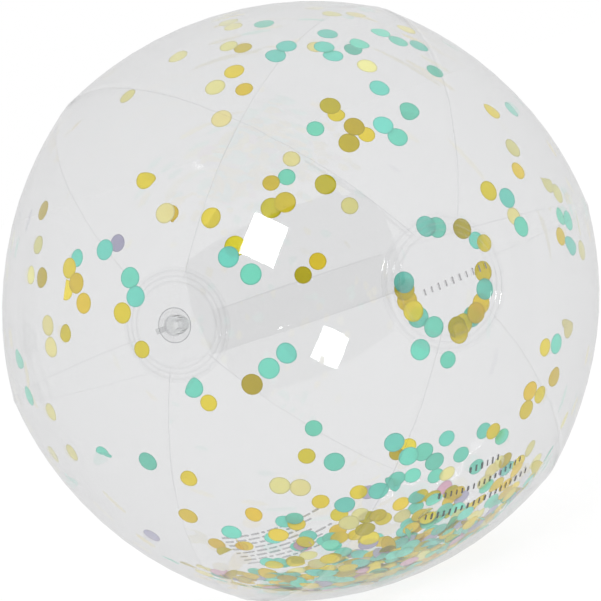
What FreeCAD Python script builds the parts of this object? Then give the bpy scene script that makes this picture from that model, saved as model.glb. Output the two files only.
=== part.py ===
"""Clear inflatable beach ball, 350 mm across, with round confetti sealed inside.

Frame: origin at the ball's centre, +Z up, the pole axis along Y.  The plain end patch is at -Y and
the valve at +Y.  Six equal gores are welded edge to edge; gore_1 is the one the ball rests on.
"""
import FreeCAD, Part
import math
import os
import random

V = FreeCAD.Vector
doc = FreeCAD.newDocument("beach_ball")
sheet = doc.addObject("Spreadsheet::Sheet", "dims")

DIMS = [
    ("gore_count", 6, "welded panels round the pole axis"),
    ("gore_rise", 173.3, "from the axis to the middle of a gore"),
    ("gore_spread", 189.7, "half width of the ellipse a gore is cut from; seams end up at 177"),
    ("pole_reach", 175.0, "from the centre to a pole, outside of the film"),
    ("film", 0.25, "thickness of the PVC film"),
    ("weld_rise", 0.25, "extra thickness where two gores are welded"),
    ("weld_half", 2.2, "half width of a welded seam"),
    ("floor_drop", 172.15, "from the centre down to the small flat the ball rests on"),
    ("patch_inside", 175.35, "inner radius of both end patches"),
    ("patch_film", 0.35, "thickness of the end patches"),
    ("patch_rim", 37.5, "radius of the end patches"),
    ("patch_tilt_side", 1.8, "degrees the plain patch is off the pole, sideways"),
    ("patch_tilt_down", 1.6, "degrees the plain patch is off the pole, downwards"),
    ("ridge_first", 28.0, "radius of the innermost embossed weld ring"),
    ("ridge_pitch", 3.5, "spacing of the weld rings"),
    ("ridge_count", 3, "number of weld rings"),
    ("ridge_bead", 0.45, "radius of a weld ring's bead"),
    ("valve_hole", 6.2, "radius of the hole through film and patch at the valve"),
    ("flange_low", 175.75, "underside of the valve flange"),
    ("flange_thick", 0.75, "thickness of the valve flange"),
    ("flange_rim", 11.6, "radius of the valve flange"),
    ("flange_open", 6.4, "radius of the opening in the flange"),
    ("web_wall", 0.4, "thickness of the rolling web"),
    ("web_rim", 6.1, "outer radius of the rolling web"),
    ("web_low", 168.0, "underside of the rolling web"),
    ("web_eye", 4.85, "radius of the hole in the web's floor"),
    ("stem_rim", 4.5, "outer radius of the valve stem"),
    ("stem_bore", 3.0, "radius of the bore a pump nozzle fits"),
    ("stem_low", 162.9, "inner end of the stem"),
    ("mouth_low", 171.0, "floor of the wider mouth the plug sits in"),
    ("mouth_rim", 3.4, "radius of the mouth"),
    ("mouth_flare", 0.5, "chamfer at the top of the mouth"),
    ("lip_low", 176.7, "underside of the stem's lip"),
    ("lip_thick", 0.9, "thickness of the lip"),
    ("lip_rim", 7.0, "radius of the lip"),
    ("flap_rim", 4.2, "radius of the non-return flap"),
    ("flap_thick", 0.4, "thickness of the flap"),
    ("flap_gap", 0.1, "between the flap and the stem"),
    ("plug_top", 3.05, "radius of the plug at the cap"),
    ("plug_tip", 2.7, "radius of the plug at its tip"),
    ("plug_deep", 5.4, "length of the plug"),
    ("cap_rim", 5.2, "radius of the cap"),
    ("cap_thick", 1.1, "thickness of the cap"),
    ("cap_gap", 0.1, "between the cap and the lip"),
    ("strap_wide", 3.6, "width of the plug's strap"),
    ("strap_thick", 0.5, "thickness of the strap"),
    ("strap_reach", 12.6, "from the valve's axis to the bend of the strap"),
    ("disc_rim", 5.75, "radius of a piece of confetti"),
    ("disc_thick", 0.1, "thickness of a piece of confetti"),
    ("cling_gap", 0.6, "from the film to the first layer of confetti"),
    ("layer_step", 0.35, "spacing of the layers of confetti"),
    ("heap_gap", 2.2, "from the gores' nearest point to the loose heap"),
    ("heap_count", 520, "pieces in the loose heap"),
    ("heap_spread", 17.0, "degrees, spread of the heap from straight down"),
    ("heap_limit", 48.0, "degrees, furthest loose piece"),
]
for row, (word, value, note) in enumerate(DIMS, 1):
    sheet.set("A%d" % row, word)
    sheet.set("B%d" % row, str(value))
    sheet.set("C%d" % row, note)
    sheet.setAlias("B%d" % row, word)
doc.recompute()


def size(word):
    """A driving dimension read from the sheet."""
    return float(sheet.get(word))


def bound(obj, **exprs):
    """Tie properties of an object to expressions over the sheet; At_x, At_y, At_z place it."""
    for prop, expr in exprs.items():
        path = "Placement.Base." + prop[3:] if prop.startswith("At_") else prop
        obj.setExpression(path, expr)
    return obj


def shape_of(kind, name, **links):
    """A boolean over other objects."""
    obj = doc.addObject("Part::" + kind, name)
    for prop, value in links.items():
        setattr(obj, prop, value)
    return obj


ALONG_Y = FreeCAD.Rotation(V(1, 0, 0), -90)
SECTOR = FreeCAD.Rotation(V(0, 0, -1), V(-1, 0, 0), V(0, 1, 0), "XYZ")


def rod(name, radius, height, at_y):
    """A cylinder along +Y from at_y."""
    obj = doc.addObject("Part::Cylinder", name)
    obj.Placement = FreeCAD.Placement(V(0, 0, 0), ALONG_Y)
    return bound(obj, Radius=radius, Height=height, At_y=at_y)


def ellipsoid(name, grow):
    """The gore ellipsoid, its radii changed by grow; a gore's middle is along Z."""
    obj = doc.addObject("Part::Ellipsoid", name)
    bound(obj, Radius1="dims.gore_rise" + grow, Radius2="dims.gore_spread" + grow)
    return bound(obj, Radius3="dims.pole_reach" + grow)


def sector(name):
    """The wedge of space one gore fills, centred straight down."""
    obj = doc.addObject("Part::Cylinder", name)
    half = FreeCAD.Rotation(V(0, 0, 1), -180.0 / size("gore_count"))
    obj.Placement = FreeCAD.Placement(V(0, -260, 0), SECTOR.multiply(half))
    return bound(obj, Radius="dims.gore_spread + 30", Height="520", Angle="360 / dims.gore_count")


def band(name, side):
    """A slab along one seam plane of the sector, on its inner side."""
    obj = doc.addObject("Part::Box", name)
    turn = math.radians(180.0 / size("gore_count")) * side
    out = V(math.sin(turn), 0, -math.cos(turn))
    across = V(-math.cos(turn) * side, 0, -math.sin(turn) * side)
    frame = FreeCAD.Rotation(out, V(0, 1, 0), across, "XYZ")
    if side > 0:
        frame = FreeCAD.Rotation(across, V(0, 1, 0), out, "XYZ")
    obj.Placement = FreeCAD.Placement(V(0, -260, 0), frame)
    bound(obj, Width="520")
    if side > 0:
        return bound(obj, Length="dims.weld_half", Height="dims.gore_spread + 30")
    return bound(obj, Height="dims.weld_half", Length="dims.gore_spread + 30")


def make_gores():
    """Six welded panels; the lowest has the small flat the ball stands on."""
    outer = ellipsoid("film_outer", "")
    skin = shape_of("Cut", "film_skin", Base=outer, Tool=ellipsoid("film_inner", " - dims.film"))
    proud = ellipsoid("weld_outer", " + dims.weld_rise")
    core = ellipsoid("weld_core", " - dims.film / 2")
    weld = shape_of("Cut", "weld_skin", Base=proud, Tool=core)
    wedge = sector("gore_sector")
    panel = shape_of("MultiCommon", "gore_panel", Shapes=[skin, wedge])
    edges = []
    for word, side in (("low", -1), ("high", 1)):
        slab = band("seam_slab_" + word, side)
        edges.append(shape_of("MultiCommon", "seam_" + word, Shapes=[weld, wedge, slab]))
    welded = shape_of("MultiFuse", "gore_welded", Shapes=[panel] + edges)
    hole = rod("valve_way", "dims.valve_hole", "60", "dims.pole_reach - 40")
    blank = shape_of("Cut", "gore_blank", Base=welded, Tool=hole)
    room = doc.addObject("Part::Box", "above_floor")
    room.Placement.Base = V(-200, -200, 0)
    bound(room, Length="400", Width="400", Height="300", At_z="-dims.floor_drop")
    slab = doc.addObject("Part::Box", "floor_slab")
    slab.Placement.Base = V(-60, -60, 0)
    bound(slab, Length="120", Width="120", Height="dims.film", At_z="-dims.floor_drop")
    foot = shape_of("MultiCommon", "floor_disc", Shapes=[outer, slab])
    lifted = shape_of("MultiCommon", "gore_lifted", Shapes=[blank, room])
    gores = [shape_of("MultiFuse", "gore_1", Shapes=[lifted, foot])]
    for number in range(1, int(size("gore_count"))):
        gore = shape_of("Compound", "gore_%d" % (number + 1), Links=[blank])
        turn = FreeCAD.Rotation(V(0, 1, 0), number * 360.0 / size("gore_count"))
        gore.Placement = FreeCAD.Placement(V(0, 0, 0), turn)
        gores.append(gore)
    return gores


def patch_disc(name):
    """A round dished patch with embossed weld rings, its middle at +Y."""
    outer = bound(doc.addObject("Part::Sphere", name + "_outer"),
                  Radius="dims.patch_inside + dims.patch_film")
    inner = bound(doc.addObject("Part::Sphere", name + "_inner"), Radius="dims.patch_inside")
    shell = shape_of("Cut", name + "_shell", Base=outer, Tool=inner)
    reach = rod(name + "_reach", "dims.patch_rim", "80", "dims.patch_inside - 40")
    pieces = [shape_of("MultiCommon", name + "_cap", Shapes=[shell, reach])]
    for number in range(int(size("ridge_count"))):
        ring = doc.addObject("Part::Torus", "%s_ridge_%d" % (name, number + 1))
        radius = "(dims.ridge_first + %d * dims.ridge_pitch)" % number
        ring.Placement = FreeCAD.Placement(V(0, 0, 0), ALONG_Y)
        skin = "(dims.patch_inside + dims.patch_film)"
        bound(ring, Radius1=radius, Radius2="dims.ridge_bead")
        bound(ring, At_y="sqrt(%s ^ 2 - %s ^ 2) - dims.film / 3" % (skin, radius))
        pieces.append(shape_of("Cut", "%s_bead_%d" % (name, number + 1), Base=ring, Tool=inner))
    return shape_of("MultiFuse", name + "_disc", Shapes=pieces)


def make_patches():
    """The plain patch at -Y, slightly off centre as it was welded, and the valve's patch at +Y."""
    blank = patch_disc("patch")
    front = shape_of("Compound", "front_pole_patch", Links=[blank])
    over = FreeCAD.Rotation(V(1, 0, 0), 180 + size("patch_tilt_down"))
    front.Placement.Rotation = FreeCAD.Rotation(V(0, 0, 1), -size("patch_tilt_side")).multiply(over)
    hole = rod("patch_way", "dims.valve_hole", "60", "dims.pole_reach - 40")
    back = shape_of("Cut", "valve_pole_patch", Base=blank, Tool=hole)
    return [front, back]


def make_valve_seat():
    """The welded flange and the soft web that rolls over when the stem is pulled out."""
    plate = rod("flange_plate", "dims.flange_rim", "dims.flange_thick", "dims.flange_low")
    opening = rod("flange_way", "dims.flange_open", "20", "dims.flange_low - 10")
    base = shape_of("Cut", "valve_base", Base=plate, Tool=opening)
    tall = "dims.flange_low + dims.flange_thick - dims.web_low"
    cup = rod("web_cup", "dims.web_rim", tall, "dims.web_low")
    room = rod("web_room", "dims.web_rim - dims.web_wall", "20", "dims.web_low + dims.web_wall")
    eye = rod("web_hole", "dims.web_eye", "20", "dims.web_low - 10")
    hollow = shape_of("Cut", "web_hollow", Base=cup, Tool=room)
    return [base, shape_of("Cut", "valve_diaphragm", Base=hollow, Tool=eye)]


def make_stem():
    """A short tube with a lip; a pump's nozzle fits the bore below the plug's wider mouth."""
    top = "dims.lip_low + dims.lip_thick"
    tube = rod("stem_tube", "dims.stem_rim", top + " - dims.stem_low", "dims.stem_low")
    lip = rod("stem_lip", "dims.lip_rim", "dims.lip_thick", "dims.lip_low")
    body = shape_of("MultiFuse", "stem_body", Shapes=[tube, lip])
    bore = rod("stem_way", "dims.stem_bore", "40", "dims.stem_low - 10")
    mouth = rod("stem_mouth", "dims.mouth_rim", "20", "dims.mouth_low")
    flare = doc.addObject("Part::Cone", "stem_flare")
    flare.Placement = FreeCAD.Placement(V(0, 0, 0), ALONG_Y)
    bound(flare, Radius1="dims.mouth_rim", Radius2="dims.mouth_rim + dims.mouth_flare")
    bound(flare, Height="dims.mouth_flare", At_y=top + " - dims.mouth_flare")
    way = shape_of("MultiFuse", "stem_passage", Shapes=[bore, mouth, flare])
    return shape_of("Cut", "valve_stem", Base=body, Tool=way)


def make_flap():
    """The thin flap that closes the stem's inner end, with the lug it hinges on."""
    low = "dims.stem_low - dims.flap_gap - dims.flap_thick"
    return rod("valve_flap", "dims.flap_rim", "dims.flap_thick", low)


def make_plug():
    """The cap with its tapered plug and a finger tab."""
    under = "dims.lip_low + dims.lip_thick + dims.cap_gap"
    cap = rod("plug_cap", "dims.cap_rim", "dims.cap_thick", under)
    shank = doc.addObject("Part::Cone", "plug_shank")
    shank.Placement = FreeCAD.Placement(V(0, 0, 0), ALONG_Y)
    bound(shank, Radius1="dims.plug_tip", Radius2="dims.plug_top", Height="dims.plug_deep + 0.2")
    bound(shank, At_y=under + " - dims.plug_deep")
    tab = doc.addObject("Part::Box", "plug_tab")
    bound(tab, Length="5.5", Width="dims.cap_thick", Height="4", At_x="dims.cap_rim - 1")
    bound(tab, At_y=under, At_z="-2")
    return shape_of("MultiFuse", "valve_plug", Shapes=[cap, shank, tab])


def make_strap():
    """The strap from the lip round to the cap, a flat band folded in a U."""
    low = "dims.lip_low + 0.1"
    high = "dims.lip_low + dims.lip_thick + dims.cap_gap + 0.5"
    limbs = []
    for word, level, start in (("low", low, "dims.lip_rim"), ("high", high, "dims.cap_rim")):
        limb = doc.addObject("Part::Box", "strap_limb_" + word)
        bound(limb, Length="dims.strap_reach - %s" % start, Width="dims.strap_thick")
        bound(limb, Height="dims.strap_wide", At_x="-dims.strap_reach", At_y=level)
        bound(limb, At_z="-dims.strap_wide / 2")
        limbs.append(limb)
    middle = "(%s + %s + dims.strap_thick) / 2" % (low, high)
    outer = "(%s - %s + dims.strap_thick) / 2" % (high, low)
    bend = []
    for word, less in (("outer", ""), ("inner", " - dims.strap_thick")):
        drum = doc.addObject("Part::Cylinder", "strap_bend_" + word)
        drum.Placement.Rotation = FreeCAD.Rotation(V(0, 0, 1), 90)
        bound(drum, Radius=outer + less, Height="dims.strap_wide", Angle="180")
        bound(drum, At_x="-dims.strap_reach", At_y=middle, At_z="-dims.strap_wide / 2")
        bend.append(drum)
    loop = shape_of("Cut", "strap_loop", Base=bend[0], Tool=bend[1])
    return shape_of("MultiFuse", "plug_strap", Shapes=limbs + [loop])


# Where single pieces cling inside the film: (degrees from the middle plane towards the valve,
# degrees round the pole axis from straight down), by colour.
CLING = {
    "teal": [(-24, 181), (-25, 244), (-31, 250), (-32, 254), (-50, 246), (-54, 251), (-35, 184),
             (-36, 188), (-35, 173), (-39, 177), (-42, 177), (-40, 168), (12, 140), (-53, 172),
             (-36, 160), (-39, 157), (-40, 152), (1, 126), (37, 131), (-61, 179), (-64, 176),
             (-59, 166), (-14, 113), (-70, 115), (-71, 98), (-9, 88), (-55, 90), (-56, 82),
             (-81, 191), (-82, 178), (20, 87), (50, 127), (-39, 276), (-57, 277), (-53, 279),
             (6, 262), (4, 269), (51, 301), (-22, 287), (-24, 309), (-75, 318), (29, 60),
             (-60, 46), (53, 30), (-50, 313), (-58, 326), (-48, 329), (-43, 323), (-56, 333),
             (-57, 338), (-55, 343), (24, 41), (15, 44), (9, 43), (60, 224)],
    "yellow": [(-34, 198), (35, 154), (-31, 229), (66, 168), (-46, 236), (-16, 247), (-18, 250),
               (-15, 251), (-29, 257), (-20, 254), (60, 256), (80, 283), (72, 0), (55, 336),
               (-20, 301), (-30, 316), (31, 130), (30, 121), (-52, 132), (0, 99), (-72, 127),
               (-7, 84), (18, 86), (53, 130), (56, 95), (-56, 37), (-60, 25), (-57, 21), (0, 52),
               (1, 62), (-79, 350), (22, 161), (36, 337), (50, 20)],
    "pale": [(-16, 184), (12, 168), (-19, 199), (21, 165), (-34, 204), (31, 188), (-40, 211),
             (-37, 236), (45, 230), (45, 239), (-9, 257), (-9, 261), (45, 279), (42, 291),
             (32, 286), (-40, 307), (-42, 311), (-47, 171), (-33, 152), (-26, 166), (-27, 161),
             (-58, 122), (8, 90), (-56, 104), (-54, 99), (-51, 80), (44, 107), (46, 130),
             (-57, 54), (17, 146)],
    "gold": [(-4, 235), (-7, 248), (-53, 190), (-59, 189), (-61, 195), (-63, 215), (-58, 227),
             (-56, 230), (-51, 243), (-82, 141), (-49, 281), (60, 92)],
    "lilac": [(67, 203), (-22, 30), (33, 318)],
}
# Pieces caught inside the plain patch's ring: (degrees round it from straight down, colour).
POCKET = [(-109, "teal"), (-100, "gold"), (-86, "yellow"), (-71, "yellow"), (-60, "teal"),
          (-36, "teal"), (-2, "gold"), (8, "yellow"), (24, "teal"), (31, "yellow"),
          (45, "yellow"), (64, "teal"), (86, "yellow")]
HEAP_MIX = [("teal", 37), ("yellow", 30), ("gold", 13), ("pale", 10), ("lilac", 6), ("pink", 4)]


def inside_radius(way, keep):
    """How far from the centre a piece facing way lies, keep short of the film."""
    turn = math.degrees(math.atan2(way.x, -way.z))
    step = 360.0 / size("gore_count")
    off = math.radians(turn - step * round(turn / step))
    flat = math.hypot(way.x, way.z)
    film = size("film")
    total = (flat * math.cos(off) / (size("gore_rise") - film)) ** 2
    total += (flat * math.sin(off) / (size("gore_spread") - film)) ** 2
    total += (way.y / (size("pole_reach") - film)) ** 2
    reach = 1.0 / math.sqrt(total)
    if way.z < -0.5:
        reach = min(reach, (size("floor_drop") - film) / -way.z)
    return reach - keep


def heap_radius(way):
    """As inside_radius, for the loose heap, which must clear the film all the way round."""
    flat = math.hypot(way.x, way.z)
    total = (flat / (size("floor_drop") - size("film"))) ** 2
    total += (way.y / (size("pole_reach") - size("film"))) ** 2
    return 1.0 / math.sqrt(total) - size("heap_gap")


def direction(lat, lon):
    """The unit vector at lat degrees towards +Y and lon degrees round Y from straight down."""
    lat = math.radians(lat)
    lon = math.radians(lon)
    return V(math.cos(lat) * math.sin(lon), math.sin(lat), -math.cos(lat) * math.cos(lon))


def pocket_direction(turn):
    """A place on the ring of pieces caught behind the plain patch."""
    centre = front_patch.Placement.Rotation.multVec(V(0, 1, 0))
    lean = 25.0 / size("patch_inside")
    side = V(math.sin(math.radians(turn)), 0, -math.cos(math.radians(turn)))
    return (centre + side * lean).normalize()


def layered(ways, reach_of):
    """Put each piece in the first layer where it touches none before it."""
    placed = []
    for way, colour in ways:
        near = [layer for other, layer in placed if (other - way).Length * 170 < 11.9]
        layer = min(set(range(len(near) + 1)) - set(near))
        placed.append((way, layer))
        yield colour, way, reach_of(way) - layer * size("layer_step")


def disc(way, reach):
    """One round piece of confetti facing way."""
    thick = size("disc_thick")
    return Part.makeCylinder(size("disc_rim"), thick, way * (reach - thick), way)


def add_confetti(prefix, laid):
    """One object per colour holding all its pieces."""
    groups = {}
    for colour, way, reach in laid:
        groups.setdefault(colour, []).append(disc(way, reach))
    made = []
    for colour in sorted(groups):
        obj = doc.addObject("Part::Feature", "%s_%s" % (prefix, colour))
        obj.Shape = Part.makeCompound(groups[colour])
        obj.Placement = FreeCAD.Placement()
        made.append(obj)
    return made


def make_clinging():
    """Single pieces held on the film by static, and those caught behind the plain patch."""
    ways = [(direction(lat, lon), colour) for colour in CLING for lat, lon in CLING[colour]]
    ways += [(pocket_direction(turn), colour) for turn, colour in POCKET]
    return add_confetti("cling", layered(ways, lambda way: inside_radius(way, size("cling_gap"))))


def make_heap():
    """The loose pieces that have slid to the bottom, balanced straight below the axis."""
    chance = random.Random(11)
    colours = [word for word, share in HEAP_MIX for _ in range(share)]
    ways = []
    while len(ways) < size("heap_count"):
        lean = size("heap_spread") * math.sqrt(-2 * math.log(1 - chance.random()))
        turn = math.radians(chance.uniform(0, 360))
        if lean < size("heap_limit"):
            lean = math.radians(lean)
            way = V(math.sin(lean) * math.cos(turn), math.sin(lean) * math.sin(turn), -math.cos(lean))
            ways.append((way, chance.choice(colours)))
    drift = math.degrees(math.atan2(sum(way.x for way, _ in ways), -sum(way.z for way, _ in ways)))
    level = FreeCAD.Rotation(V(0, 1, 0), drift)
    ways = [(level.multVec(way), colour) for way, colour in ways]
    return add_confetti("heap", layered(ways, heap_radius))


nodes = make_gores()
patches = make_patches()
front_patch = patches[0]
nodes += patches + make_valve_seat()
nodes += [make_stem(), make_flap(), make_plug(), make_strap()]
nodes += make_clinging() + make_heap()
doc.recompute()

for node in nodes:
    node.Label = node.Name
for obj in doc.Objects:
    if "Invalid" in obj.State or "Error" in obj.State:
        raise RuntimeError("%s did not build: %s" % (obj.Name, obj.State))
for node in nodes:
    if node.Shape.isNull() or not node.Shape.isValid() or not node.Shape.Solids:
        raise RuntimeError("%s has no sound solid" % node.Name)
os.makedirs("parts", exist_ok=True)
for node in nodes:
    node.Shape.exportStep("parts/%s.step" % node.Name)
    print(node.Name, len(node.Shape.Solids), round(node.Shape.Volume, 1))
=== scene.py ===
import math
import random

import bmesh
import bpy
from mathutils import Matrix, Vector, noise


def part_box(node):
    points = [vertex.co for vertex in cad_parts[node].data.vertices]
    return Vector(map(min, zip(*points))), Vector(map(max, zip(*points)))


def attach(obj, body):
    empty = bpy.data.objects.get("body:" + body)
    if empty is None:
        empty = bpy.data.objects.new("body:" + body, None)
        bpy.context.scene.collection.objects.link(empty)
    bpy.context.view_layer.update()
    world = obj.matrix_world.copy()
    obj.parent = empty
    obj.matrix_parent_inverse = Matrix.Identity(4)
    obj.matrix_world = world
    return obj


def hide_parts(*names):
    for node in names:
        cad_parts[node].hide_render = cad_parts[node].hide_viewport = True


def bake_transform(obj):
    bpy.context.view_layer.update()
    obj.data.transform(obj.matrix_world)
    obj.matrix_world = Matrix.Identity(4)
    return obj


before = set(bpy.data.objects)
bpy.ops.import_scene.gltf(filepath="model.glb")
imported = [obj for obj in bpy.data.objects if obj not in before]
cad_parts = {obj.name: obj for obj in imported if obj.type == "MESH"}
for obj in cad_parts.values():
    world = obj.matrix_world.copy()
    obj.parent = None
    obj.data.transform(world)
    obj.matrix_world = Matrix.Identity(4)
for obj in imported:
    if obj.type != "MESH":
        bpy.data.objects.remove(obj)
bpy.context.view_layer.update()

# A clear beach ball, in metres.  The pole axis is Y: plain patch at -Y, valve at +Y.
MM = 0.001
GORES = 6
RISE = 173.3 * MM               # from the axis to the middle of a gore
SPREAD = 189.7 * MM             # half width of the ellipse a gore is cut from
REACH = 175.0 * MM              # from the centre to a pole
FILM = 0.25 * MM
WELD_RISE = 0.25 * MM
WELD_HALF = 2.2 * MM
WELD_LINE = 0.36 * MM           # half width of the dark line where two gores meet
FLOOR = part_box("gore_1")[0].z
VALVE_HOLE = 6.2 * MM
TIP_HOLE = 0.15 * MM            # the gores' tips under the plain patch
PATCH_IN = 175.35 * MM
PATCH_FILM = 0.35 * MM
PATCH_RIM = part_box("valve_pole_patch")[1].x
RIDGES = [28.0 * MM, 31.5 * MM, 35.0 * MM]
RIDGE_RISE = 0.42 * MM
RIDGE_HALF = 0.55 * MM
RIDGE_LINE = 0.6 * MM           # half width of a ring's clearer look
DISC = 5.75 * MM
DISC_THICK = 0.1 * MM
CREASE = 32                     # degrees; sharper edges are shaded as edges

chance = random.Random(5)


# ---------------------------------------------------------------- meshes

def smooth(low, high, value):
    """0 below low, 1 above high, and a soft rise between them."""
    share = min(1.0, max(0.0, (value - low) / (high - low)))
    return share * share * (3 - 2 * share)


def mesh_object(name, points, faces, crease=CREASE):
    """A closed mesh with its normals outwards; edges sharper than crease degrees stay sharp."""
    mesh = bpy.data.meshes.new(name)
    mesh.from_pydata([tuple(point) for point in points], [], faces)
    work = bmesh.new()
    work.from_mesh(mesh)
    bmesh.ops.remove_doubles(work, verts=work.verts, dist=1e-7)
    bmesh.ops.recalc_face_normals(work, faces=work.faces)
    work.to_mesh(mesh)
    work.free()
    mesh.shade_smooth()
    mesh.set_sharp_from_angle(angle=math.radians(crease))
    obj = bpy.data.objects.new(name, mesh)
    bpy.context.scene.collection.objects.link(obj)
    return obj


def shell(name, outer, inner, wrap=False):
    """A thin closed wall between two grids of points; wrap joins the last column to the first."""
    rows, cols = len(outer), len(outer[0])
    points = [point for grid in (outer, inner) for row in grid for point in row]

    def at(side, i, j):
        return (side * rows + i) * cols + j % cols

    faces = []
    for i in range(rows - 1):
        for j in range(cols if wrap else cols - 1):
            for side in (0, 1):
                faces.append((at(side, i, j), at(side, i, j + 1),
                              at(side, i + 1, j + 1), at(side, i + 1, j)))
    for j in range(cols if wrap else cols - 1):
        for i in (0, rows - 1):
            faces.append((at(0, i, j), at(1, i, j), at(1, i, j + 1), at(0, i, j + 1)))
    for i in range(0 if wrap else rows - 1):
        for j in (0, cols - 1):
            faces.append((at(0, i, j), at(1, i, j), at(1, i + 1, j), at(0, i + 1, j)))
    return mesh_object(name, points, faces)


def rounded(corners, radius, steps=4):
    """A closed outline with its corners rounded, except those on the axis."""
    outline = []
    for k, here in enumerate(corners):
        here = Vector(here)
        before = Vector(corners[k - 1])
        after = Vector(corners[(k + 1) % len(corners)])
        if here.x < 1e-9:
            outline.append(here)
            continue
        reach = min(radius, (before - here).length * 0.45, (after - here).length * 0.45)
        start = here + (before - here).normalized() * reach
        end = here + (after - here).normalized() * reach
        for step in range(steps + 1):
            share = step / steps
            outline.append(start * (1 - share) ** 2 + here * 2 * share * (1 - share)
                           + end * share ** 2)
    return outline


def denser(outline, longest):
    """The same closed outline with no side longer than longest."""
    points = []
    for k, here in enumerate(outline):
        after = outline[(k + 1) % len(outline)]
        parts = max(1, math.ceil((after - here).length / longest))
        points += [here.lerp(after, part / parts) for part in range(parts)]
    return points


def lathe(name, outline, segments=80):
    """A solid turned about the Y axis from a closed outline of (radius, height) in metres."""
    points = []
    for number in range(segments):
        angle = 2 * math.pi * number / segments
        points += [(out * math.cos(angle), high, out * math.sin(angle)) for out, high in outline]
    count = len(outline)
    faces = []
    for number in range(segments):
        near, far = number * count, (number + 1) % segments * count
        for k in range(count):
            after = (k + 1) % count
            if outline[k][0] > 1e-9 or outline[after][0] > 1e-9:
                faces.append((near + k, near + after, far + after, far + k))
    return mesh_object(name, points, faces)


def slab(name, plan, low, high, round_by):
    """A flat piece with outline plan, (x, z) points, from low to high along Y, edges rounded."""
    middle = sum((Vector(point) for point in plan), Vector((0, 0))) / len(plan)
    rings = []
    for share in (0.0, 0.15, 0.5, 1.0):
        turn = math.pi / 2 * share
        inset = round_by * (1 - math.sin(turn))
        rings.append((inset, low + round_by * (1 - math.cos(turn))))
    rings += [(inset, high + low - level) for inset, level in reversed(rings)]
    points = []
    for inset, level in rings:
        for point in plan:
            out = Vector(point) - middle
            kept = middle + out * (1 - inset / out.length)
            points.append((kept.x, level, kept.y))
    count = len(plan)
    faces = [(i * count + j, i * count + (j + 1) % count,
              (i + 1) * count + (j + 1) % count, (i + 1) * count + j)
             for i in range(len(rings) - 1) for j in range(count)]
    faces.append(tuple(range(count)))
    faces.append(tuple(range(len(points) - count, len(points))))
    return mesh_object(name, points, faces)


def unite(base, tools):
    """Join solids into one clean solid."""
    for tool in tools:
        step = base.modifiers.new("join", "BOOLEAN")
        step.operation = "UNION"
        step.solver = "EXACT"
        step.object = tool
    shaped = bpy.data.meshes.new_from_object(
        base.evaluated_get(bpy.context.evaluated_depsgraph_get()))
    base.modifiers.clear()
    base.data = shaped
    shaped.shade_smooth()
    shaped.set_sharp_from_angle(angle=math.radians(CREASE))
    for tool in tools:
        bpy.data.objects.remove(tool)
    return base


def paint(obj, word, value_of):
    """A number at every point of the mesh, for the material to read."""
    layer = obj.data.attributes.new(word, "FLOAT", "POINT")
    layer.data.foreach_set("value", [value_of(vertex.co) for vertex in obj.data.vertices])


# ---------------------------------------------------------------- materials

def node(tree, kind, inputs, **settings):
    """A shader node; an input is a plain value or another node's output."""
    made = tree.nodes.new("ShaderNode" + kind)
    for word, value in settings.items():
        setattr(made, word, value)
    for key, value in inputs.items():
        if isinstance(value, bpy.types.NodeSocket):
            tree.links.new(value, made.inputs[key])
        else:
            made.inputs[key].default_value = value
    return made


def sums(tree, operation, first, second, third=0.0):
    """One step of arithmetic."""
    return node(tree, "Math", {0: first, 1: second, 2: third}, operation=operation).outputs[0]


def blend_colour(tree, share, first, second):
    """A colour between two."""
    made = node(tree, "Mix", {0: share, 6: first, 7: second}, data_type="RGBA")
    return made.outputs[2]


def new_tree(name):
    """An empty material."""
    material = bpy.data.materials.new(name)
    material.use_nodes = True
    material.node_tree.nodes.clear()
    return material, material.node_tree


def grain(tree, scale, detail=3.0):
    """Noise fixed to the piece."""
    place = node(tree, "TexCoord", {}).outputs["Object"]
    made = node(tree, "TexNoise", {"Vector": place, "Scale": scale, "Detail": detail})
    return made.outputs["Fac"]


def spread(tree, value, low, high):
    """Noise of about 0.3 to 0.7 stretched to run from low to high."""
    made = node(tree, "MapRange", {0: value, 1: 0.3, 2: 0.7, 3: low, 4: high})
    return made.outputs[0]


def film_material(name, tint, weld_tint, shine):
    """Clear PVC: a wall mirrors once, at the face met first, and dims what is seen through it."""
    material, tree = new_tree(name)
    swell = node(tree, "Bump", {"Height": grain(tree, 38.0), "Strength": 0.12,
                                "Distance": 0.5 * MM}).outputs[0]
    weld = node(tree, "Attribute", {}, attribute_name="weld").outputs["Fac"]
    fresnel = node(tree, "Fresnel", {"IOR": 1.5, "Normal": swell}).outputs[0]
    both_faces = sums(tree, "DIVIDE", sums(tree, "MULTIPLY", fresnel, 2.0),
                      sums(tree, "ADD", fresnel, 1.0))
    share = sums(tree, "MULTIPLY_ADD", weld, 1.0 - shine, shine)
    back = node(tree, "NewGeometry", {}).outputs["Backfacing"]
    front = sums(tree, "MULTIPLY", share, sums(tree, "SUBTRACT", 1.0, back))
    mirror = sums(tree, "MULTIPLY", both_faces, front)
    edge = node(tree, "LayerWeight", {"Blend": 0.5}).outputs["Facing"]
    steep = sums(tree, "POWER", edge, 2.5)
    seen = blend_colour(tree, steep, (*tint, 1), tuple(0.93 * part for part in tint) + (1,))
    clear = node(tree, "BsdfTransparent", {
        "Color": blend_colour(tree, weld, seen, (*weld_tint, 1))})
    gloss = node(tree, "BsdfAnisotropic", {
        "Color": blend_colour(tree, steep, (1, 1, 1, 1), (0.80, 0.80, 0.805, 1)), "Normal": swell,
        "Roughness": spread(tree, grain(tree, 400.0), 0.02, 0.05)})
    mixed = node(tree, "MixShader", {0: mirror, 1: clear.outputs[0], 2: gloss.outputs[0]})
    node(tree, "OutputMaterial", {0: mixed.outputs[0]})
    return material


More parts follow.
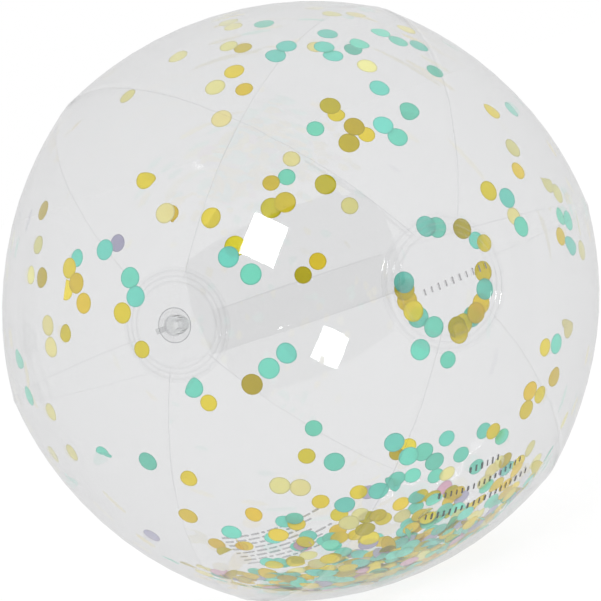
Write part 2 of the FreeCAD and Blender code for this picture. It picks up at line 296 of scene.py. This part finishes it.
def vinyl_material(name, milk):
    """Soft moulded vinyl, clear with a little milk in it and greyer where it is seen edge on."""
    material, tree = new_tree(name)
    skin = node(tree, "Bump", {"Height": grain(tree, 700.0), "Strength": 0.1,
                               "Distance": 0.1 * MM}).outputs[0]
    edge = sums(tree, "POWER", node(tree, "LayerWeight", {
        "Blend": 0.5, "Normal": skin}).outputs["Facing"], 3.0)
    clear = node(tree, "BsdfRefraction", {
        "Color": blend_colour(tree, edge, (0.995, 0.995, 0.995, 1), (0.90, 0.903, 0.91, 1)),
        "IOR": 1.012, "Roughness": 0.02, "Normal": skin})
    body = node(tree, "BsdfPrincipled", {
        "Base Color": blend_colour(tree, grain(tree, 160.0), (0.72, 0.74, 0.75, 1),
                                   (0.80, 0.82, 0.83, 1)),
        "Roughness": spread(tree, grain(tree, 300.0), 0.2, 0.34), "Normal": skin})
    glow = node(tree, "BsdfTranslucent", {"Color": (0.92, 0.93, 0.94, 1), "Normal": skin})
    soft = node(tree, "MixShader", {0: 0.5, 1: body.outputs[0], 2: glow.outputs[0]})
    share = sums(tree, "MULTIPLY_ADD", edge, 0.10, milk)
    mixed = node(tree, "MixShader", {0: share, 1: clear.outputs[0], 2: soft.outputs[0]})
    node(tree, "OutputMaterial", {0: mixed.outputs[0]})
    return material


def foil_material(name, colour, metal, see_through):
    """Thin coloured foil: satin, finely crinkled, a little light comes through, pieces differ,
    each disc's rim painted darker as painted shade.
    """
    material, tree = new_tree(name)
    island = node(tree, "NewGeometry", {}).outputs["Random Per Island"]
    rim = node(tree, "Attribute", {}, attribute_name="rim").outputs["Fac"]
    crinkle = node(tree, "Bump", {"Height": grain(tree, 420.0, 4.0), "Strength": 0.35,
                                  "Distance": 0.15 * MM}).outputs[0]
    level = node(tree, "MapRange", {0: island, 3: 0.88, 4: 1.12}).outputs[0]
    hue = node(tree, "MapRange", {0: sums(tree, "FRACT", sums(tree, "MULTIPLY", island, 7.3), 0),
                                  3: 0.488, 4: 0.512}).outputs[0]
    tone = node(tree, "HueSaturation", {"Hue": hue, "Saturation": 1.0, "Value": level,
                                        "Color": (*colour, 1)}).outputs[0]
    # painted shade: each disc's outer ring is darkened towards 0.55 of its colour as a painted
    # dark edge
    wear_and_rim_shade = blend_colour(tree, sums(tree, "MULTIPLY", rim, 0.4), tone,
                        tuple(0.55 * part for part in colour) + (1,))
    satin = node(tree, "BsdfPrincipled", {
        "Base Color": wear_and_rim_shade, "Metallic": metal, "Specular IOR Level": 0.3, "Normal": crinkle,
        "Roughness": spread(tree, grain(tree, 600.0), 0.26, 0.42)})
    glow = node(tree, "BsdfTranslucent", {"Color": wear_and_rim_shade})
    lit = node(tree, "MixShader", {0: 0.38 * (1 - metal), 1: satin.outputs[0],
                                   2: glow.outputs[0]})
    clear = node(tree, "BsdfTransparent", {"Color": wear_and_rim_shade})
    mixed = node(tree, "MixShader", {0: see_through, 1: lit.outputs[0], 2: clear.outputs[0]})
    node(tree, "OutputMaterial", {0: mixed.outputs[0]})
    return material


def ink_material(name, dark, pale, worn_least, worn_most):
    """Grey printing ink, unevenly worn."""
    material, tree = new_tree(name)
    tone = blend_colour(tree, spread(tree, grain(tree, 900.0), 0.0, 1.0),
                        (dark, dark, dark * 1.03, 1), (pale, pale, pale * 1.03, 1))
    ink = node(tree, "BsdfPrincipled", {"Base Color": tone, "Roughness": 0.55})
    clear = node(tree, "BsdfTransparent", {})
    wear_and_rim_shade = spread(tree, grain(tree, 2500.0), worn_least, worn_most)
    mixed = node(tree, "MixShader", {0: wear_and_rim_shade, 1: ink.outputs[0], 2: clear.outputs[0]})
    node(tree, "OutputMaterial", {0: mixed.outputs[0]})
    return material


FILM_LOOK = film_material("clear_film", (0.931, 0.932, 0.934), (0.90, 0.90, 0.904), 1.0)
PATCH_LOOK = film_material("clear_patch", (0.990, 0.990, 0.991), (0.96, 0.96, 0.963), 0.3)
FLANGE_LOOK = film_material("flange_vinyl", (0.97, 0.97, 0.972), (0.62, 0.63, 0.64), 0.3)
STEM_LOOK = vinyl_material("stem_vinyl", 0.14)
PALE_INK = ink_material("pale_ink", 0.42, 0.55, 0.45, 0.75)
GREY_INK = ink_material("grey_ink", 0.26, 0.38, 0.3, 0.6)
DARK_INK = ink_material("dark_ink", 0.09, 0.18, 0.1, 0.35)
FOIL_LOOKS = {
    "teal": foil_material("teal_foil", (0.31, 0.90, 0.77), 0.05, 0.12),
    "yellow": foil_material("yellow_foil", (0.98, 0.83, 0.04), 0.05, 0.12),
    "pale": foil_material("pale_foil", (0.99, 0.95, 0.55), 0.05, 0.3),
    "gold": foil_material("gold_foil", (0.72, 0.61, 0.0), 0.3, 0.05),
    "lilac": foil_material("lilac_foil", (0.66, 0.64, 0.80), 0.05, 0.15),
    "pink": foil_material("pink_foil", (0.95, 0.66, 0.80), 0.05, 0.15),
}


def dress(obj, look, body, slot, *nodes):
    """Give a piece its material and its body, and hide the CAD nodes it stands for; slot is not
    used.
    """
    obj.data.materials.clear()
    obj.data.materials.append(look)
    if body:
        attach(obj, body)
    if nodes:
        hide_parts(*nodes)
    return obj


# ---------------------------------------------------------------- film

def facing(turn, lat):
    """The way out at turn round the pole axis from straight down and lat towards the valve."""
    ring = math.cos(lat)
    return Vector((ring * math.sin(turn), math.sin(lat), -ring * math.cos(turn)))


def film_radius(turn, lat, grow=0.0):
    """From the centre to the film's outer face, or to a face grow outside it."""
    step = 2 * math.pi / GORES
    off = turn - step * round(turn / step)
    total = (math.cos(lat) * math.cos(off) / (RISE + grow)) ** 2
    total += (math.cos(lat) * math.sin(off) / (SPREAD + grow)) ** 2
    total += (math.sin(lat) / (REACH + grow)) ** 2
    return 1 / math.sqrt(total)


NEAR_SEAM = [0.0, 0.35, 0.72, 1.5, 2.0, 2.6]
ACROSS = [0.03, 0.07, 0.13, 0.21, 0.32, 0.46, 0.63, 0.81, 1.0]
PUCKER = 0.35 * MM
SEAM_SWAY = 0.7 * MM
DENT = 0.3 * MM
OPEN_FILM = (38 * MM, 60 * MM)      # from the pole axis: puckers and dents fade in past the patch
WELD_SHOWS = (27 * MM, 33 * MM)     # and the seams' weld fades in under the patch
SIXTEENTHS = [2 * math.pi * (k + 0.5) / 16 for k in range(16)]


def seam_offsets(half_width):
    """Distances from a seam to the columns of a gore's mesh, up to its middle."""
    squeeze = min(1.0, half_width / (2 * NEAR_SEAM[-1] * MM))
    near = [number * MM * squeeze for number in NEAR_SEAM]
    return near + [near[-1] + (half_width - near[-1]) * share for share in ACROSS]


def film_faces(turn, lat, gap, seam):
    """The outer and inner point of the film at gap from seam, with the weld and its puckers."""
    way = facing(turn, lat)
    ring = REACH * math.cos(lat)
    open_film = smooth(*OPEN_FILM, ring)
    welded = smooth(*WELD_SHOWS, ring)
    along = lat * REACH
    lift = PUCKER * math.exp(-gap / (9 * MM)) * open_film
    lift *= noise.noise(Vector((along / (6.5 * MM), seam * 13.7, 0.5)))
    above_floor = smooth(0, 6 * MM, film_radius(turn, lat) * way.z - FLOOR)
    lift += DENT * noise.noise(way * 3.1 + Vector((4.0, 1.0, 2.0))) * open_film * above_floor
    rise = WELD_RISE * welded * (1 - smooth(WELD_HALF - 0.3 * MM, WELD_HALF + 0.3 * MM, gap))
    outer = way * (film_radius(turn, lat) + lift + rise)
    inner = way * (film_radius(turn, lat, -FILM) + lift)
    outer.z = max(outer.z, FLOOR)
    inner.z = max(inner.z, FLOOR + FILM)
    return outer, inner


def make_gore(number):
    """One welded panel; the sixth part of the ball from pole to pole."""
    low = -math.acos(TIP_HOLE / REACH)
    high = math.acos(VALVE_HOLE / REACH)
    rows = 190
    half = math.pi / GORES
    outer, inner = [], []
    for row in range(rows + 1):
        lat = low + (high - low) * row / rows
        ring = REACH * math.cos(lat)
        offsets = seam_offsets(ring * half)
        open_film = smooth(*OPEN_FILM, ring)
        line = []
        for side, gaps in ((-1, offsets[:-1]), (1, offsets[::-1])):
            for gap in gaps:
                seam = (number + (side > 0)) % GORES
                sway = SEAM_SWAY * math.exp(-gap / (18 * MM)) * open_film
                sway *= noise.noise(Vector((lat * REACH / (16 * MM), seam * 7.1, 3.5)))
                turn = number * 2 * half + side * (half - gap / ring) + sway / ring
                line.append(film_faces(turn, lat, gap, seam) + (gap, ring))
        outer.append([faces[0] for faces in line])
        inner.append([faces[1] for faces in line])
    gore = shell("film_gore_%d" % (number + 1), outer, inner)

    def weld_at(point):
        ring = math.hypot(point.x, point.z)
        turn = math.atan2(point.x, -point.z) - number * 2 * half
        turn = abs((turn + math.pi) % (2 * math.pi) - math.pi)
        gap = (half - turn) * ring
        shown = smooth(*WELD_SHOWS, ring)
        shown *= 0.3 + 0.7 * smooth(-0.25, 0.3, noise.noise(point * 14))
        line = 1 - smooth(WELD_LINE, WELD_LINE * 2, gap)
        band = 0.08 * (1 - smooth(WELD_HALF - 0.3 * MM, WELD_HALF + 0.4 * MM, gap))
        return shown * max(line, band)

    paint(gore, "weld", weld_at)
    return dress(gore, FILM_LOOK, "ball", "clear_film", "gore_%d" % (number + 1))


def make_patch(name, hole, turned, cad_node):
    """A round end patch with embossed weld rings, turned from +Y to its pole."""
    def bump(out):
        near = min(abs(out - ridge) for ridge in RIDGES)
        return RIDGE_RISE * math.cos(min(1.0, near / RIDGE_HALF) * math.pi / 2) ** 2

    start = max(hole, 0.12 * MM)
    steps = int((PATCH_RIM - start) / MM)
    outs = [start + (PATCH_RIM - start) * step / steps for step in range(steps + 1)]
    outs = [out for out in outs if min(abs(out - ridge) for ridge in RIDGES) > RIDGE_HALF * 1.2]
    outs += [ridge + RIDGE_HALF * step / 6 for ridge in RIDGES for step in range(-6, 7)]
    outs += [PATCH_RIM - 0.5 * MM, PATCH_RIM - 0.25 * MM]
    outer, inner = [], []
    for out in sorted(outs):
        thin = PATCH_FILM * (0.35 + 0.65 * smooth(0, 0.5 * MM, PATCH_RIM - out))
        high = math.sqrt((PATCH_IN + thin) ** 2 - out ** 2) + bump(out)
        low = math.sqrt(PATCH_IN ** 2 - out ** 2) + bump(out) * 0.5
        angles = [2 * math.pi * k / 300 for k in range(300)]
        outer.append([Vector((out * math.cos(a), high, out * math.sin(a))) for a in angles])
        inner.append([Vector((out * math.cos(a), low, out * math.sin(a))) for a in angles])
    patch = shell(name, outer, inner, wrap=True)

    def ring_at(point):
        out = math.hypot(point.x, point.z)
        rim = smooth(PATCH_RIM - 0.6 * MM, PATCH_RIM, out)
        rings = [math.exp(-((out - ridge) / RIDGE_LINE) ** 2) for ridge in RIDGES]
        return max([0.5 * rim] + rings)

    paint(patch, "weld", ring_at)
    patch.data.transform(turned)
    return dress(patch, PATCH_LOOK, "ball", "clear_patch", cad_node)


# ---------------------------------------------------------------- valve

def mm_outline(corners, radius, longest=None):
    """A rounded outline from corners in millimetres."""
    outline = rounded([(out * MM, high * MM) for out, high in corners], radius * MM)
    return denser(outline, longest * MM) if longest else outline


def make_flange():
    """The welded flange, with a raised ring near its rim."""
    corners = [(6.4, 175.75), (11.6, 175.75), (11.6, 176.3), (10.6, 176.5), (10.2, 176.75),
               (9.6, 176.75), (9.2, 176.5), (7.0, 176.5), (6.4, 176.35)]
    flange = lathe("valve_flange", mm_outline(corners, 0.3, 0.25), 96)
    paint(flange, "weld", lambda spot: smooth(10.9 * MM, 11.4 * MM, math.hypot(spot.x, spot.z)))
    return dress(flange, FLANGE_LOOK, "ball", "valve_vinyl", "valve_base")


def make_web():
    """The soft cup between flange and stem that rolls over when the valve is pulled out."""
    corners = [(6.75, 176.45), (5.7, 176.45), (5.7, 168.4), (4.45, 168.35), (4.45, 167.95),
               (6.1, 168.0), (6.1, 176.05), (6.75, 176.05)]
    web = lathe("rolling_web", mm_outline(corners, 0.4, 0.5), 72)
    dress(web, STEM_LOOK, None, "valve_vinyl", "valve_diaphragm")
    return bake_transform(web)


def make_stem():
    """The stem with its lip, the plug's wider mouth and the nozzle bore below it."""
    corners = [(3.0, 162.9), (4.5, 162.9), (4.5, 175.6), (5.2, 176.7), (7.0, 176.75), (7.0, 177.6),
               (3.9, 177.6), (3.4, 177.1), (3.4, 171.0), (3.0, 171.0)]
    stem = lathe("stem", mm_outline(corners, 0.3), 80)
    return dress(stem, STEM_LOOK, "valve_stem", "valve_vinyl", "valve_stem")


def make_flap():
    """The thin non-return flap under the stem."""
    low, high, out = 162.4, 162.8, 4.2
    corners = [(0, low), (out - 0.6, low), (out, low + 0.1), (out, high), (0, high)]
    flap = lathe("non_return_flap", mm_outline(corners, 0.15), 64)
    return dress(flap, STEM_LOOK, "valve_flap", "valve_vinyl", "valve_flap")


def make_plug():
    """The cap with its tapered plug, a finger tab and three grip ribs."""
    corners = [(0, 172.3), (2.2, 172.3), (2.7, 172.9), (3.05, 177.9), (4.6, 177.72), (5.2, 177.9),
               (5.2, 178.5), (4.7, 178.8), (3.6, 178.8), (3.2, 178.6), (0, 178.6)]
    plug = lathe("plug", mm_outline(corners, 0.25), 80)
    reach, half = 9.65 * MM, 2.0 * MM
    plan = [(4.4 * MM, -half * 1.1), (4.4 * MM, half * 1.1)]
    for step in range(13):
        angle = math.pi / 2 - math.pi * step / 12
        plan.append((reach - half + half * math.cos(angle), half * math.sin(angle)))
    tab = slab("tab", plan, 177.72 * MM, 178.7 * MM, 0.3 * MM)
    ribs = []
    for number in range(3):
        middle = (6.6 + 0.95 * number) * MM
        rib = [(middle + 0.2 * MM * math.cos(a), 1.45 * MM * math.sin(a))
               for a in [2 * math.pi * k / 20 for k in range(20)]]
        ribs.append(slab("rib_%d" % number, rib, 178.4 * MM, 178.86 * MM, 0.08 * MM))
    unite(plug, [tab] + ribs)
    return dress(plug, STEM_LOOK, "valve_plug", "valve_vinyl", "valve_plug")


def ribbon(name, path):
    """A length of the plug's strap along a path of (x, y) points in millimetres."""
    fine = []
    for here, after in zip(path, path[1:]):
        parts = math.ceil((after - here).length / 0.4)
        fine += [here.lerp(after, part / parts) for part in range(parts)]
    fine.append(path[-1])
    section = rounded([(0.001, 1.8), (0.5, 1.8), (0.5, -1.8), (0.001, -1.8)], 0.2)
    points = []
    for k, here in enumerate(fine):
        ahead = fine[min(k + 1, len(fine) - 1)] - fine[max(k - 1, 0)]
        across = Vector((-ahead.y, ahead.x)).normalized()
        for part in section:
            spot = here + across * (part.x - 0.25)
            points.append(Vector((spot.x, spot.y, part.y)) * MM)
    count = len(section)
    faces = [(i * count + j, i * count + (j + 1) % count, (i + 1) * count + (j + 1) % count,
              (i + 1) * count + j) for i in range(len(fine) - 1) for j in range(count)]
    faces += [tuple(range(count)), tuple(range(len(points) - count, len(points)))]
    return mesh_object(name, points, faces)


def make_strap():
    """The strap: from the stem's lip round a tight bend, and from there up to the cap."""
    low, high, bend, turn = 177.05, 178.45, 12.6, 0.4
    around = [Vector((-bend - turn * math.sin(a), low + turn - turn * math.cos(a)))
              for a in [math.pi * k / 12 for k in range(13)]]
    past_bend = Vector((-bend + 0.15, low + 2 * turn))
    bent = ribbon("strap_bend", [Vector((-6.7, low)), *around, past_bend])
    dress(bent, STEM_LOOK, "valve_stem", "valve_vinyl")
    arm = ribbon("strap_arm", [around[-1], Vector((-9.0, high - 0.05)), Vector((-8.0, high)),
                               Vector((-4.9, high))])
    dress(arm, STEM_LOOK, None, "valve_vinyl", "plug_strap")
    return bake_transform(arm)


# ---------------------------------------------------------------- confetti

def islands(name):
    """The middle of every separate solid of a CAD node."""
    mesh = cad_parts[name].data
    keys = [tuple(round(part, 6) for part in vertex.co) for vertex in mesh.vertices]
    chief = {key: key for key in keys}

    def top(key):
        while chief[key] != key:
            chief[key] = chief[chief[key]]
            key = chief[key]
        return key

    for edge in mesh.edges:
        chief[top(keys[edge.vertices[0]])] = top(keys[edge.vertices[1]])
    groups = {}
    for key in sorted(set(keys)):
        groups.setdefault(top(key), []).append(key)
    middles = [sum((Vector(key) for key in group), Vector()) / len(group)
               for group in groups.values()]
    return sorted(middles, key=lambda middle: (round(middle.x, 5), round(middle.y, 5)))


RINGS = [0.3, 0.6, 0.85, 0.96, 1.0]
ROUND = 24


def crumple(spot, curl, crease, sharp):
    """A point of a flat disc after the disc is curled and folded about a crease."""
    x, y, z = spot
    z -= curl * (x / DISC) ** 2
    if x > crease:
        over = x - crease
        x = crease + over * math.cos(sharp)
        z -= over * math.sin(sharp)
    return Vector((x, y, z))


def disc_points(middle, lean, fold):
    """The points of one piece of foil, top face and bottom face, out from its middle."""
    way = middle.normalized()
    side = way.orthogonal().normalized()
    frame_of = Matrix((side, way.cross(side), way)).transposed()
    frame_of = frame_of @ Matrix.Rotation(chance.uniform(0, 2 * math.pi), 3, "Z")
    frame_of = frame_of @ Matrix.Rotation(chance.gauss(0, lean), 3, "X")
    curl = abs(chance.gauss(0, 0.25 * MM))
    crease = chance.uniform(-0.3, 0.5) * DISC
    kind = chance.random()
    sharp = 0.0
    if kind < fold:
        sharp = math.radians(chance.uniform(35, 75))
    elif kind < 4 * fold:
        sharp = math.radians(chance.uniform(6, 14))
    points = []
    for face in (0.5, -0.5):
        spots = [(0, 0, face * DISC_THICK)]
        for ring in RINGS:
            edge = 0.5 if ring == 1.0 else 1.0
            spots += [(ring * DISC * math.cos(a), ring * DISC * math.sin(a),
                       face * DISC_THICK * edge)
                      for a in [2 * math.pi * k / ROUND for k in range(ROUND)]]
        points += [middle + frame_of @ crumple(spot, curl, crease, sharp) for spot in spots]
    return points


def disc_faces(start):
    """The faces that join one disc's points."""
    half = 1 + len(RINGS) * ROUND
    faces = []
    for face in (start, start + half):
        for k in range(ROUND):
            after = (k + 1) % ROUND
            faces.append((face, face + 1 + k, face + 1 + after))
            for ring in range(len(RINGS) - 1):
                inside, outside = face + 1 + ring * ROUND, face + 1 + (ring + 1) * ROUND
                faces.append((inside + k, outside + k, outside + after, inside + after))
    rim = 1 + (len(RINGS) - 1) * ROUND
    for k in range(ROUND):
        after = (k + 1) % ROUND
        faces.append((start + rim + k, start + half + rim + k,
                      start + half + rim + after, start + rim + after))
    return faces


def make_confetti(cad_node, body, lean, fold):
    """All pieces of one colour in one CAD node, as curled and creased foil."""
    colour = cad_node.split("_")[1]
    points, faces = [], []
    for middle in islands(cad_node):
        faces += disc_faces(len(points))
        points += disc_points(middle, lean, fold)
    made = mesh_object("foil_" + cad_node, points, faces, 50)
    each = 2 * (1 + len(RINGS) * ROUND)
    # the outer ring of every disc, which the foil material darkens as painted shade
    layer = made.data.attributes.new("rim", "FLOAT", "POINT")
    edge_starts = 1 + (len(RINGS) - 2) * ROUND
    layer.data.foreach_set("value", [
        float((number % (each // 2)) >= edge_starts) for number in range(len(made.data.vertices))])
    return dress(made, FOIL_LOOKS[colour], body, colour + "_foil", cad_node)


# ---------------------------------------------------------------- print

def bar_row(place, start, end, high, shortest, longest, gap):
    """Plain rounded bars along a row; place turns (along, up, lift) into a point on the film."""
    points, faces = [], []
    along = start
    while along + shortest < end:
        long = min(chance.uniform(shortest, longest), end - along)
        tall = high * chance.uniform(0.8, 1.0)
        corner = min(long, tall) / 2
        outline = []
        for angle in SIXTEENTHS:
            x = math.copysign(long / 2 - corner, math.cos(angle)) + corner * math.cos(angle)
            y = math.copysign(tall / 2 - corner, math.sin(angle)) + corner * math.sin(angle)
            outline.append((along + long / 2 + x, y))
        base = len(points)
        for lift in (0.02 * MM, 0.06 * MM):
            points += [place(x, y, lift) for x, y in outline]
        faces += [tuple(base + k for k in range(16)), tuple(base + 16 + k for k in range(16))]
        faces += [(base + k, base + (k + 1) % 16, base + 16 + (k + 1) % 16, base + 16 + k)
                  for k in range(16)]
        along += long + gap
    return points, faces


def make_print(name, rows, look, slot):
    """Rows of bars as one piece of ink."""
    points, faces = [], []
    for row_points, row_faces in rows:
        faces += [tuple(len(points) + k for k in face) for face in row_faces]
        points += row_points
    return dress(mesh_object(name, points, faces), look, "ball", slot)


def gore_place(lat):
    """Places on the lowest gore: along the row and up from it, at lat degrees."""
    def place(along, up, lift):
        level = math.radians(lat) + up / REACH
        turn = along / (REACH * math.cos(level))
        point = facing(turn, level) * (film_radius(turn, level) + lift + 0.12 * MM)
        point.z = max(point.z, FLOOR + 0.02 * MM)
        return point
    return place


def patch_place(tilt, shift):
    """Places on the plain patch: along +X and up +Z from a point shift beside its middle."""
    def place(along, up, lift):
        along += shift
        up += 0.04 * along
        high = math.sqrt((PATCH_IN + PATCH_FILM) ** 2 - along ** 2 - up ** 2) + lift
        return tilt @ Vector((along, high, -up))
    return place


# ---------------------------------------------------------------- build

for number in range(GORES):
    make_gore(number)
TILT_SIDE, TILT_DOWN = math.radians(1.8), math.radians(1.6)
front_turn = Matrix.Rotation(-TILT_SIDE, 4, "Z") @ Matrix.Rotation(math.pi + TILT_DOWN, 4, "X")
make_patch("plain_patch", 0.0, front_turn, "front_pole_patch")
make_patch("valve_patch", VALVE_HOLE, Matrix.Identity(4), "valve_pole_patch")
make_flange()
make_web()
make_stem()
make_flap()
make_plug()
make_strap()
for colour in ("gold", "lilac", "pale", "teal", "yellow"):
    make_confetti("cling_" + colour, "ball", math.radians(1.0), 0.05)
for colour in ("gold", "lilac", "pale", "pink", "teal", "yellow"):
    make_confetti("heap_" + colour, "loose_confetti", math.radians(3.0), 0.08)

CARE_LAT, CARE_STEP, CARE_START = 38.3, 1.35, -49 * MM
care_rows = [bar_row(gore_place(CARE_LAT - CARE_STEP * k), CARE_START, chance.uniform(4, 27) * MM,
                     1.9 * MM, 2.5 * MM, 9 * MM, 1.4 * MM) for k in range(8)]
make_print("care_print", care_rows, PALE_INK, "clear_film")
CODE_ROWS = [(-42, -32, 40, 5.5), (-47, -26, 33, 4.5), (-51.5, -7, 15, 5.0)]
code_rows = [bar_row(gore_place(lat), start * MM, end * MM, high * MM, 0.9 * MM, 1.7 * MM,
                     2.6 * MM) for lat, start, end, high in CODE_ROWS]
make_print("code_print", code_rows, DARK_INK, "clear_film")
mark_row = bar_row(patch_place(front_turn, 7.5 * MM), -22.5 * MM, 21 * MM, 4.2 * MM, 0.8 * MM,
                   1.2 * MM, 3.5 * MM)
make_print("patch_print", [mark_row], GREY_INK, "clear_patch")


# ---------------------------------------------------------------- studio

def stage_plane(name, wide, high, look, place, toward):
    """A flat stage piece facing toward."""
    points = [(-wide / 2, -high / 2, 0), (wide / 2, -high / 2, 0), (wide / 2, high / 2, 0),
              (-wide / 2, high / 2, 0)]
    mesh = bpy.data.meshes.new(name)
    mesh.from_pydata(points, [], [(0, 1, 2, 3)])
    obj = bpy.data.objects.new(name, mesh)
    bpy.context.scene.collection.objects.link(obj)
    obj.location = place
    obj.rotation_mode = "QUATERNION"
    obj.rotation_quaternion = Vector(toward).to_track_quat("Z", "Y")
    mesh.materials.append(look)
    return obj


def floor_material():
    """A pale studio floor, lifted so that it meets the white backdrop."""
    material, tree = new_tree("studio_floor")
    tone = blend_colour(tree, grain(tree, 6.0), (0.11, 0.11, 0.11, 1), (0.13, 0.13, 0.13, 1))
    matt = node(tree, "BsdfDiffuse", {"Color": tone})
    lift = node(tree, "Emission", {"Color": (1, 1, 1, 1), "Strength": 0.89})
    both = node(tree, "AddShader", {0: matt.outputs[0], 1: lift.outputs[0]})
    node(tree, "OutputMaterial", {0: both.outputs[0]})
    return material


def card_material():
    """The dim side of the studio behind the camera."""
    material, tree = new_tree("dim_card")
    dim = node(tree, "Emission", {"Color": (1, 1, 1, 1), "Strength": 0.25})
    node(tree, "OutputMaterial", {0: dim.outputs[0]})
    return material


AZIMUTH, ELEVATION, ROLL = math.radians(-27.7), math.radians(4.0), math.radians(18.7)
DISTANCE = 1.575
BACK = Vector((math.sin(AZIMUTH) * math.cos(ELEVATION), -math.cos(AZIMUTH) * math.cos(ELEVATION),
               math.sin(ELEVATION)))
LAMP_WAY = Vector((-0.50, -0.72, 0.465)).normalized()
LAMP_DISTANCE, LAMP_SIZE, LAMP_POWER = 1.2, 0.262, 3.3


def make_camera():
    """A long lens at the ball's height, leaning so that the ball's low side is lower right."""
    data = bpy.data.cameras.new("camera")
    data.sensor_width = 36.0
    data.lens = 161.0
    data.clip_start, data.clip_end = 0.05, 60.0
    camera = bpy.data.objects.new("camera", data)
    bpy.context.scene.collection.objects.link(camera)
    camera.location = BACK * DISTANCE
    level = (-BACK).to_track_quat("-Z", "Y").to_matrix()
    camera.rotation_mode = "QUATERNION"
    camera.rotation_quaternion = (level @ Matrix.Rotation(-ROLL, 3, "Z")).to_quaternion()
    bpy.context.scene.camera = camera
    return camera


def make_lamp():
    """One square softbox, up and to the left of the camera."""
    data = bpy.data.lights.new("softbox", "AREA")
    data.shape = "SQUARE"
    data.size = LAMP_SIZE
    data.energy = LAMP_POWER
    lamp = bpy.data.objects.new("softbox", data)
    bpy.context.scene.collection.objects.link(lamp)
    lamp.location = LAMP_WAY * LAMP_DISTANCE
    lamp.rotation_mode = "QUATERNION"
    level = LAMP_WAY.to_track_quat("Z", "Y").to_matrix()
    lamp.rotation_quaternion = (level @ Matrix.Rotation(math.radians(50), 3, "Z")).to_quaternion()
    lamp.visible_camera = False
    return lamp


def make_world():
    """White all round."""
    world = bpy.data.worlds.new("studio")
    world.use_nodes = True
    world.node_tree.nodes["Background"].inputs["Color"].default_value = (1, 1, 1, 1)
    world.node_tree.nodes["Background"].inputs["Strength"].default_value = 1.0
    bpy.context.scene.world = world


make_world()
make_camera()
make_lamp()
stage_plane("studio_floor", 60, 60, floor_material(), (0, 0, FLOOR - 0.2 * MM), (0, 0, 1))
card = stage_plane("dim_card", 2.8, 2.2, card_material(), BACK * 1.8, -BACK)
card.visible_camera = False
card.visible_diffuse = False
card.visible_transmission = False
card.visible_shadow = False
bpy.context.scene.view_settings.view_transform = "Standard"
